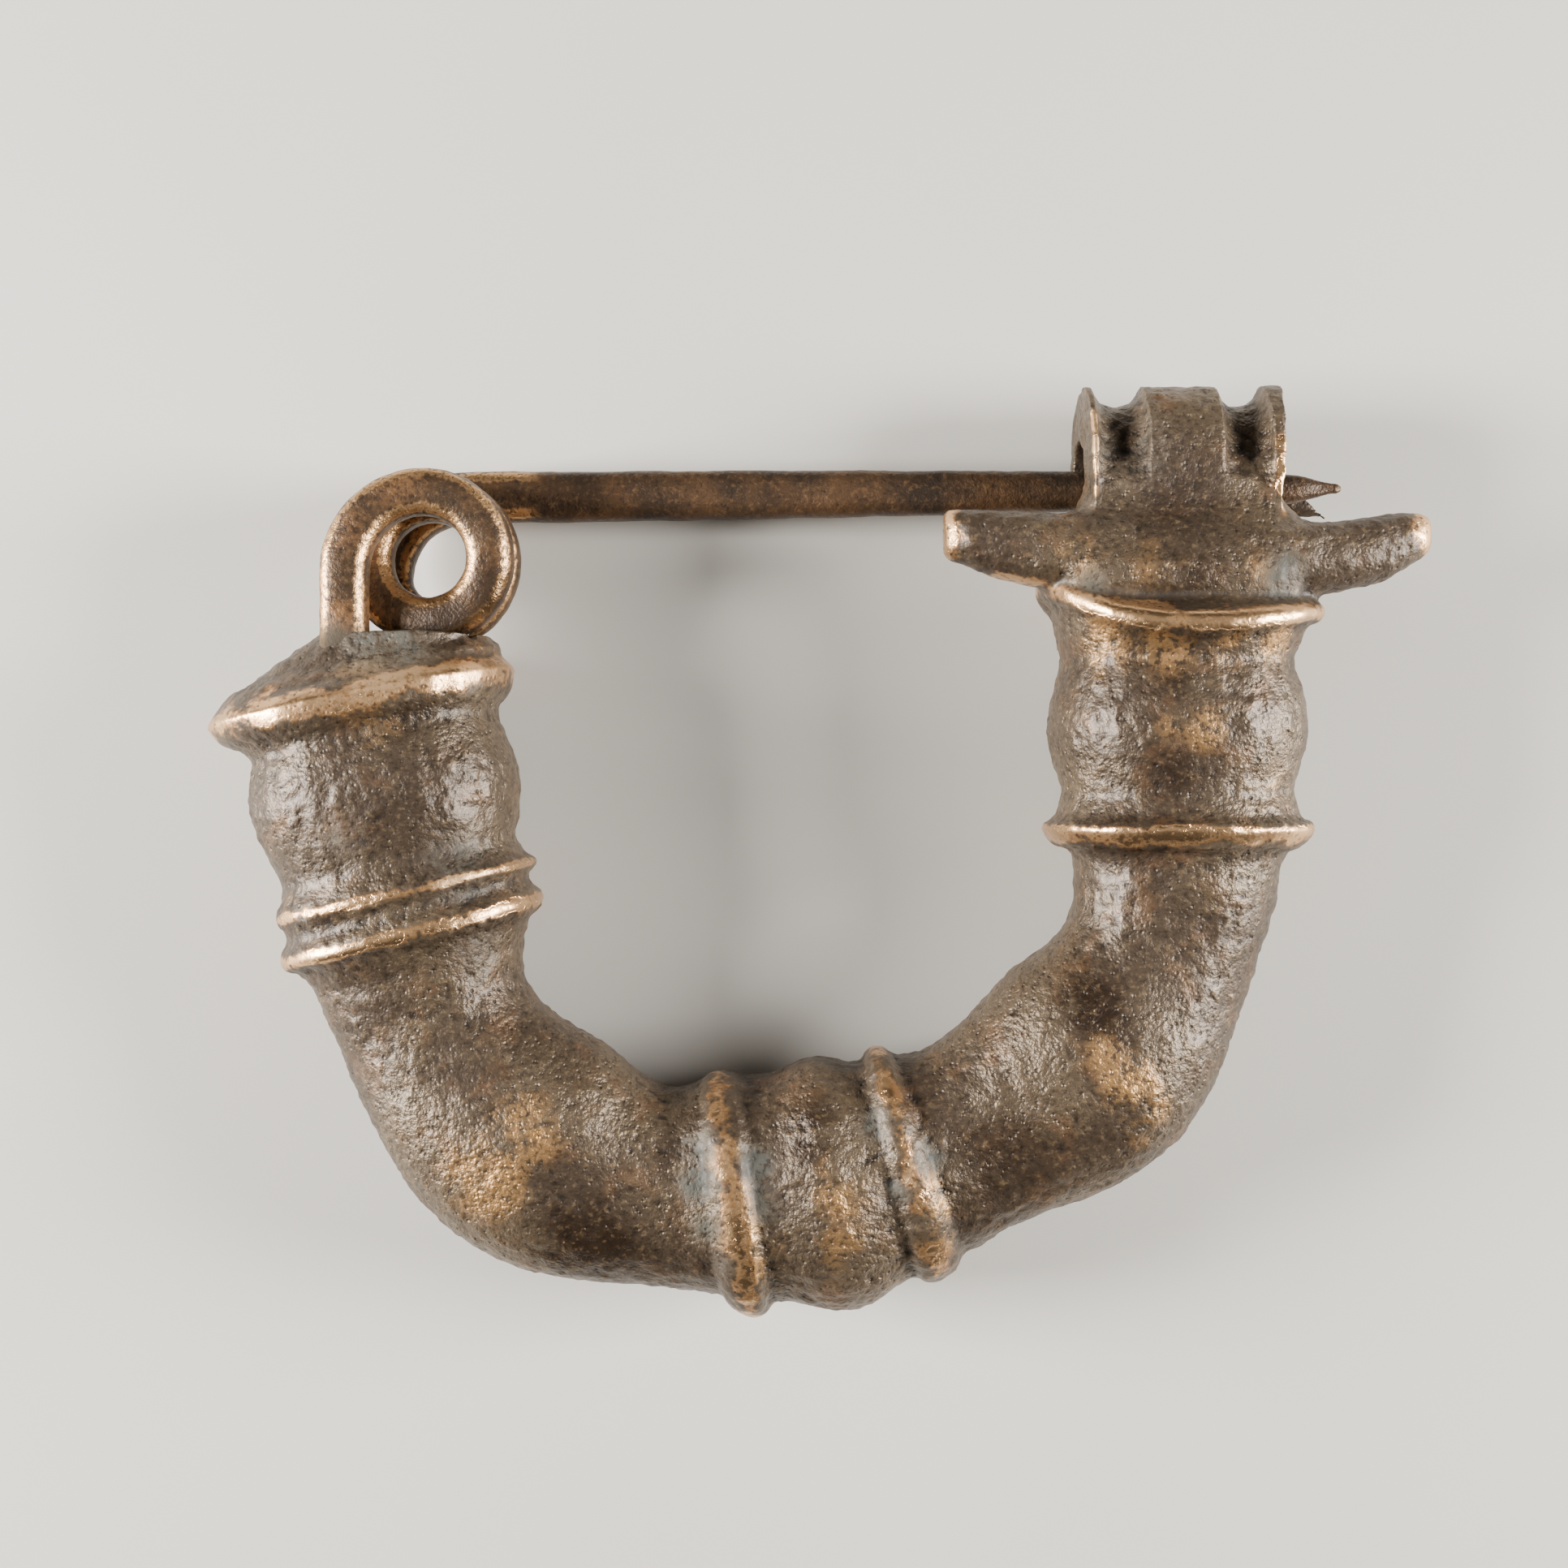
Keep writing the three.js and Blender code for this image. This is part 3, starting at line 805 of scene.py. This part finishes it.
# places where grey-green crust has stayed: x, y, radius, strength
depositPlaces = [
    (-17.2, 8.3, 2.2, 0.8), (-12.9, 5.6, 1.3, 0.6), (-12.9, -4.1, 1.4, 0.5),
    (-4.7, -11.6, 0.9, 1.0), (-4.6, -13.1, 0.9, 1.0), (-4.2, -14.8, 0.8, 0.9),
    (-3.7, -16.2, 0.6, 0.7), (-2.2, -13.4, 0.7, 0.9), (12.2, 16.4, 2.4, 0.6),
    (-18.6, 0.6, 1.2, 0.5), (-14.2, -0.6, 1.6, 0.5), (-2.4, -12.3, 0.8, 1.0),
    (-1.9, -14.0, 0.8, 1.0), (2.3, -10.7, 0.8, 0.8), (3.3, -13.2, 0.7, 0.8),
    (4.3, -12.2, 0.8, 0.9), (18.5, 10.8, 1.1, 1.0), (10.7, 10.6, 0.8, 0.8),
]


def spots(tree, where, rows, level):
    # a soft round mask at each place in turn, the strongest winning
    total = 0.0
    for x, y, radius, strength in rows:
        middle = Vector((x, y, level)) * mm
        gap = addNode(tree, "VectorMath", {0: where, 1: middle}, 1, operation="DISTANCE")
        one = addNode(
            tree, "MapRange", {0: gap, 1: radius * 1.5 * mm, 2: radius * 0.2 * mm, 4: strength},
            **soft,
        )
        total = addNode(tree, "Math", {0: total, 1: one}, **strongest)
    return total


def painted(tree, colour, layers):
    # colours laid over each other: pattern, where the colour starts and is full, its share
    for pattern, start, full, share, code in layers:
        mask = addNode(tree, "MapRange", {0: pattern, 1: start, 2: full, 4: share}, **soft)
        # a Mix node keeps its two colours at 6 and 7, and the mixed one at 2
        colour = addNode(tree, "Mix", {0: mask, 6: colour, 7: linear(code)}, 2, **rgb)
    return colour


def newMaterial(name):
    material = bpy.data.materials.new(name)
    material.use_nodes = True
    tree = material.node_tree
    tree.nodes.clear()
    return material, tree


def makeCastFinish():
    # Leaded bronze cast in clay: its skin is a brown patina, waxed, rubbed to metal on the edges.
    # To the eye it is dark and pitted, with a soft cool sheen and warm gold along what stands out.
    skinMetal, bareMetal = bronze["metallic"]
    skinRough, bareRough = bronze["roughness"]
    waxWeight, waxRough = bronze["coat"]
    material, tree = newMaterial("castPatinatedBronze")
    where = addNode(tree, "TexCoord", give="Object")
    raised = addNode(tree, "Attribute", give="Fac", attribute_name="raised")
    grain = addNode(tree, "Attribute", give="Fac", attribute_name="grain")
    rubbing = addNode(tree, "Attribute", give="Fac", attribute_name="rubbed")

    broad = addNode(tree, "TexNoise", {"Vector": where, "Scale": per(bronze["broad"]), "Detail": 3})
    blotch = addNode(
        tree, "TexNoise",
        {"Vector": where, "Scale": per(bronze["blotch"]), "Detail": 3, "Roughness": 0.6},
    )
    fine = addNode(
        tree, "TexNoise",
        {"Vector": where, "Scale": per(bronze["fine"]), "Detail": 2, "Roughness": 0.55},
    )
    grit = addNode(tree, "TexNoise", {"Vector": where, "Scale": per(bronze["grit"]), "Detail": 1})
    pits = addNode(
        tree, "TexVoronoi", {"Vector": where, "Scale": per(bronze["pits"])}, feature="F1"
    )

    # the skin
    skin = painted(tree, linear(bronze["darkSkin"]), [
        (broad, 0.35, 0.65, 1, bronze["paleSkin"]),
        (blotch, 0.5, 0.72, 0.4, bronze["reddish"]),
    ])
    # darker patches at the dark places: partly dark patina, partly painted shade
    dark = addNode(tree, "MapRange", {0: blotch, 1: 0.32, 2: 0.55, 3: 0.45}, **soft)
    darkAndShadedSpots = spots(tree, where, darkAndShadedPlaces, bronze["wornLevel"])
    dark = addNode(tree, "Math", {0: darkAndShadedSpots, 1: dark}, **multiply)
    # matt places, with their colour darkened as painted shade
    dull = spots(tree, where, dullShadedPlaces, bronze["dullShadedLevel"])
    skin = painted(tree, skin, [
        (dull, 0, 1, 0.8, bronze["darkSkin"]),
        (dark, 0, 0.9, 1, bronze["darkPatchAndShade"]),
        (fine, 0.48, 0.3, 0.48, bronze["crease"]),
        (fine, 0.55, 0.72, 0.22, bronze["grainTop"]),
        (pits, 0.28, 0.05, 0.45, bronze["crease"]),
        # darker in the fine grain's hollows and lighter on its tops
        (grain, -0.15, -1.2, 0.8, bronze["crease"]),
        (grain, 0.3, 1.4, 0.2, bronze["grainTop"]),
    ])

    # worn patches, then the crests that are rubbed bright
    broken = addNode(tree, "MapRange", {0: fine, 1: 0.36, 2: 0.52, 3: 0.3}, **soft)
    patches = spots(tree, where, wornPlaces, bronze["wornLevel"])
    patches = addNode(tree, "Math", {0: patches, 1: broken}, **multiply)
    uneven = addNode(tree, "MapRange", {0: blotch, 1: 0.3, 2: 0.6}, **soft)
    ragged = addNode(tree, "Math", {0: patches, 1: uneven}, **multiply)
    lift = addNode(tree, "Math", {0: rubbing, 1: 1.2, 2: raised}, **addScaled)
    lift = addNode(tree, "Math", {0: blotch, 1: 2.4, 2: lift}, **addScaled)
    lift = addNode(tree, "Math", {0: fine, 1: 0.9, 2: lift}, **addScaled)
    edge = addNode(tree, "MapRange", {0: lift, 1: 2.58, 2: 3.25}, **soft)
    pocked = addNode(tree, "MapRange", {0: pits, 1: 0.08, 2: 0.2, 3: 0.5}, **soft)
    edge = addNode(tree, "Math", {0: edge, 1: pocked}, **multiply)
    pocked = addNode(tree, "MapRange", {0: fine, 1: 0.3, 2: 0.4, 3: 0.35}, **soft)
    edge = addNode(tree, "Math", {0: edge, 1: pocked}, **multiply)
    worn = addNode(tree, "Math", {0: ragged, 1: edge}, **strongest)

    # grime and painted shade in the hollows, and grey-green deposits
    sunk = addNode(tree, "Math", {0: fine, 1: 0.4, 2: raised}, **addScaled)
    sunk = addNode(tree, "MapRange", {0: sunk, 1: 0.1, 2: -0.5}, **soft)
    crust = addNode(tree, "Math", {0: sunk, 1: 0.3, 2: blotch}, **addScaled)
    crust = addNode(tree, "MapRange", {0: crust, 1: 0.36, 2: 0.58, 3: 0.4}, **soft)
    crust = addNode(tree, "Math", {0: crust, 1: broken}, **multiply)
    deposit = spots(tree, where, depositPlaces, bronze["depositLevel"])
    deposit = addNode(tree, "Math", {0: deposit, 1: crust}, **multiply)

    colour = painted(tree, skin, [
        (ragged, 0, 0.9, 1, bronze["tan"]),
        (edge, 0, 0.6, 1, bronze["copper"]),
        (edge, 0.4, 1, 0.9, bronze["gold"]),
        # painted shade with grime: darker in the hollows
        (sunk, 0, 1, 0.6, bronze["crease"]),
        (deposit, 0, 1, 0.85, bronze["deposit"]),
    ])

    # what the light does: metal where it is bare, rough where there is crust
    metal = addNode(tree, "MapRange", {0: worn, 3: skinMetal, 4: bareMetal})
    clean = addNode(tree, "MapRange", {0: deposit, 3: 1, 4: 0.15})
    metal = addNode(tree, "Math", {0: metal, 1: clean}, **multiply)
    clean = addNode(tree, "MapRange", {0: sunk, 3: 1, 4: 0.4})
    metal = addNode(tree, "Math", {0: metal, 1: clean}, **multiply)
    coat = addNode(tree, "MapRange", {0: sunk, 3: waxWeight, 4: 0})
    rough = addNode(tree, "MapRange", {0: edge, 3: skinRough, 4: bareRough})
    crustRough = bronze["depositRough"]
    for pattern, more in ((grit, 0.12), (deposit, crustRough), (sunk, 0.1), (dull, 0.08)):
        rough = addNode(tree, "Math", {0: pattern, 1: more, 2: rough}, **addScaled)

    # the finest pits and grain, calmer where handling has smoothed them
    height = addNode(tree, "MapRange", {0: pits, 1: 0.0, 2: 0.35, 4: 0.6}, **soft)
    height = addNode(tree, "Math", {0: fine, 1: 1.1, 2: height}, **addScaled)
    height = addNode(tree, "Math", {0: grit, 1: 0.3, 2: height}, **addScaled)
    calm = addNode(tree, "Math", {0: edge, 1: rubbing}, **strongest)
    calm = addNode(tree, "MapRange", {0: calm, 3: 1, 4: 0.2})
    patchy = addNode(tree, "MapRange", {0: broad, 1: 0.35, 2: 0.6, 3: 0.55}, **soft)
    calm = addNode(tree, "Math", {0: calm, 1: patchy}, **multiply)
    height = addNode(tree, "Math", {0: height, 1: calm}, **multiply)
    bumps = addNode(tree, "Bump", {"Distance": bronze["relief"] * mm, "Height": height})
    shader = addNode(tree, "BsdfPrincipled", {
        "Base Color": colour, "Metallic": metal, "Roughness": rough, "Normal": bumps,
        "Coat Weight": coat, "Coat Roughness": waxRough,
    })
    addNode(tree, "OutputMaterial", {"Surface": shader})
    return material


wireColours = {
    "dark": "#2F251D",
    "warm": "#523C29",
    "dust": "#846442",
    "hollow": "#231A14",
    "orange": "#8F6540",
    "bright": "#CDA273",
    "crustColour": "#4B443A",
    "relief": 0.045,  # mm
    "broad": 3.0,  # mm
    "coiled": (-11.2, -12.6),  # x where the coil's brighter wear starts and is full
    "metallic": (0.5, 1.0),  # patinated, then rubbed bright
    "roughness": (0.39, 0.31),
    "crustRough": 0.5,  # roughness that a full crust adds
    # height of each list below on the front of the wire
    "wornLevel": 6.4,
    "darkerLowerCoilLevel": 6.2,
    "crustLevel": 6.6,
    # where the wire is rubbed to an orange tan: x, y, radius, strength
    "worn": [
        (-13.6, 9.8, 1.2, 0.25), (-12.5, 11.6, 1.1, 0.3), (-15.4, 8.6, 1.2, 0.2),
        (-17.6, 9.6, 1.0, 0.7), (-18.9, 9.2, 1.0, 0.9), (-17.9, 12.2, 0.8, 0.6),
        (-16.7, 14.6, 1.3, 0.55), (-18.7, 12.6, 1.2, 0.5),
    ],
    # where the coil's lower side is painted darker, and where the flange's crust has crept up the
    # foot
    "darkerLowerCoil": [(-14.8, 8.9, 1.7, 1.0), (-13.0, 10.2, 1.5, 0.9)],
    "crust": [(-19.2, 7.6, 1.5, 1.0), (-17.9, 7.3, 1.1, 1.0)],
}


def makeWireFinish():
    # Bronze wire hammered square and wound: a duller, redder patina than the casting's,
    # with the arrises of the coil rubbed bright.
    skinMetal, bareMetal = wireColours["metallic"]
    skinRough, bareRough = wireColours["roughness"]
    coilStart, coilFull = wireColours["coiled"]
    material, tree = newMaterial("wroughtPatinatedBronze")
    where = addNode(tree, "TexCoord", give="Object")
    arris = addNode(tree, "Attribute", give="Fac", attribute_name="arris")
    grain = addNode(tree, "Attribute", give="Fac", attribute_name="grain")
    broad = addNode(
        tree, "TexNoise", {"Vector": where, "Scale": per(wireColours["broad"]), "Detail": 3}
    )
    fine = addNode(
        tree, "TexNoise",
        {"Vector": where, "Scale": per(bronze["fine"]), "Detail": 3, "Roughness": 0.65},
    )
    grit = addNode(tree, "TexNoise", {"Vector": where, "Scale": per(bronze["grit"]), "Detail": 1})
    coiled = addNode(tree, "SeparateXYZ", {0: where})
    coiled = addNode(tree, "MapRange", {0: coiled, 1: coilStart * mm, 2: coilFull * mm}, **soft)

    skin = painted(tree, linear(wireColours["dark"]), [
        (broad, 0.35, 0.65, 1, wireColours["warm"]),
        (fine, 0.5, 0.75, 0.4, wireColours["dust"]),
        (coiled, 0, 1, 0.1, wireColours["dust"]),
        (fine, 0.46, 0.3, 0.6, wireColours["hollow"]),
        # darker in the fine grain's hollows
        (grain, -0.2, -1.3, 0.6, wireColours["hollow"]),
    ])
    worn = spots(tree, where, wireColours["worn"], wireColours["wornLevel"])
    darkerLowerCoil = spots(tree, where, wireColours["darkerLowerCoil"], wireColours["darkerLowerCoilLevel"])
    crust = spots(tree, where, wireColours["crust"], wireColours["crustLevel"])
    broken = addNode(tree, "MapRange", {0: fine, 1: 0.36, 2: 0.56, 3: 0.3}, **soft)
    worn = addNode(tree, "Math", {0: worn, 1: broken}, **multiply)
    lift = addNode(tree, "Math", {0: broad, 1: 1.2, 2: arris}, **addScaled)
    lift = addNode(tree, "Math", {0: fine, 1: 0.6, 2: lift}, **addScaled)
    edge = addNode(tree, "MapRange", {0: lift, 1: 1.15, 2: 1.75}, **soft)
    broken = addNode(tree, "MapRange", {0: fine, 1: 0.36, 2: 0.52, 3: 0.3}, **soft)
    edge = addNode(tree, "Math", {0: edge, 1: broken}, **multiply)
    edge = addNode(tree, "Math", {0: edge, 1: coiled}, **multiply)
    colour = painted(tree, skin, [
        (worn, 0, 1, 0.7, wireColours["orange"]),
        (edge, 0, 1, 0.9, wireColours["bright"]),
        # darker on the coil's lower side
        (darkerLowerCoil, 0, 1, 0.75, wireColours["hollow"]),
        (crust, 0, 0.8, 0.9, wireColours["crustColour"]),
    ])
    metal = addNode(tree, "MapRange", {0: edge, 3: skinMetal, 4: bareMetal})
    rough = addNode(tree, "MapRange", {0: edge, 3: skinRough, 4: bareRough})
    crustRough = wireColours["crustRough"]
    rough = addNode(tree, "Math", {0: crust, 1: crustRough, 2: rough}, **addScaled)
    rough = addNode(tree, "Math", {0: grit, 1: 0.12, 2: rough}, **addScaled)
    height = addNode(tree, "Math", {0: grit, 1: 0.4, 2: fine}, **addScaled)
    bumps = addNode(tree, "Bump", {"Distance": wireColours["relief"] * mm, "Height": height})
    shader = addNode(tree, "BsdfPrincipled", {
        "Base Color": colour, "Metallic": metal, "Roughness": rough, "Normal": bumps,
    })
    addNode(tree, "OutputMaterial", {"Surface": shader})
    return material


def finishPiece(piece, material):
    chooseOnly(piece)
    bpy.ops.object.shade_smooth()
    piece.data.materials.clear()
    piece.data.materials.append(material)


finishPiece(bow, makeCastFinish())
finishPiece(pin, makeWireFinish())

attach(bow, "bow")
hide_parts("bow")
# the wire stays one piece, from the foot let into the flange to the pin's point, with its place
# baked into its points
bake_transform(pin)
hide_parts("spring", "pin")
print("pieces finished")


# metres, watts and degrees, but for what is marked mm
studio = {
    "floor": "#C6C3BD",
    "floorPale": "#CAC7C1",
    "floorCloud": 30,  # mm
    "floorSize": 2.0,
    "floorLevel": -0.00002,
    "softboxes": {"leftSoftbox": (178, 1.0), "rightSoftbox": (2, 0.8)},  # azimuth, share of power
    "softboxPower": 2.1,
    "softboxSize": (0.075, 0.1),
    "softboxAway": 0.22,
    "softboxRise": 24,
    "softboxColour": (1, 0.97, 0.92),
    # azimuth, rise, power, size, colour, how far away
    "overhead": (90, 75, 0.05, (0.2, 0.2), (1, 0.97, 0.93), 0.3),
    "surround": "#B9B7B4",
    "surroundStrength": 0.07,
    "camera": (-1.312, 2.606, 84.2),  # mm
    "lens": 44.72,  # mm, on a sensor 36 mm wide
    "clip": (0.002, 10),
}


def makeFloor():
    bpy.ops.object.select_all(action="DESELECT")
    bpy.ops.mesh.primitive_plane_add(
        size=studio["floorSize"], location=(0, 0, studio["floorLevel"])
    )
    floor = bpy.context.object
    floor.name = "floor"
    material, tree = newMaterial("palePaper")
    where = addNode(tree, "TexCoord", give="Object")
    cloud = addNode(tree, "TexNoise", {"Vector": where, "Scale": per(studio["floorCloud"])})
    colour = painted(tree, linear(studio["floor"]), [(cloud, 0.3, 0.7, 1, studio["floorPale"])])
    shader = addNode(tree, "BsdfPrincipled", {"Base Color": colour, "Roughness": 0.8})
    addNode(tree, "OutputMaterial", {"Surface": shader})
    floor.data.materials.append(material)


def addSoftbox(name, azimuth, rise, power, size, colour, away):
    # a rectangular light that faces the object
    swing, lift = math.radians(azimuth), math.radians(rise)
    toward = Vector((
        math.cos(lift) * math.cos(swing), math.cos(lift) * math.sin(swing), math.sin(lift)
    ))
    bpy.ops.object.light_add(type="AREA", location=toward * away)
    light = bpy.context.object
    light.name = name
    light.rotation_euler = toward.to_track_quat("Z", "Y").to_euler()
    light.data.shape = "RECTANGLE"
    light.data.size, light.data.size_y = size
    light.data.energy = power
    light.data.color = colour


makeFloor()
for name, (azimuth, share) in studio["softboxes"].items():
    addSoftbox(
        name, azimuth, studio["softboxRise"], studio["softboxPower"] * share,
        studio["softboxSize"], studio["softboxColour"], studio["softboxAway"],
    )
addSoftbox("overhead", *studio["overhead"])

world = bpy.data.worlds.new("studio")
bpy.context.scene.world = world
world.use_nodes = True
surround = world.node_tree.nodes["Background"]
surround.inputs["Color"].default_value = linear(studio["surround"])
surround.inputs["Strength"].default_value = studio["surroundStrength"]
print("floor and lights set")

bpy.ops.object.camera_add(location=Vector(studio["camera"]) * mm, rotation=(0, 0, 0))
camera = bpy.context.object
camera.data.sensor_width = 36
camera.data.lens = studio["lens"]
camera.data.clip_start, camera.data.clip_end = studio["clip"]
bpy.context.scene.camera = camera
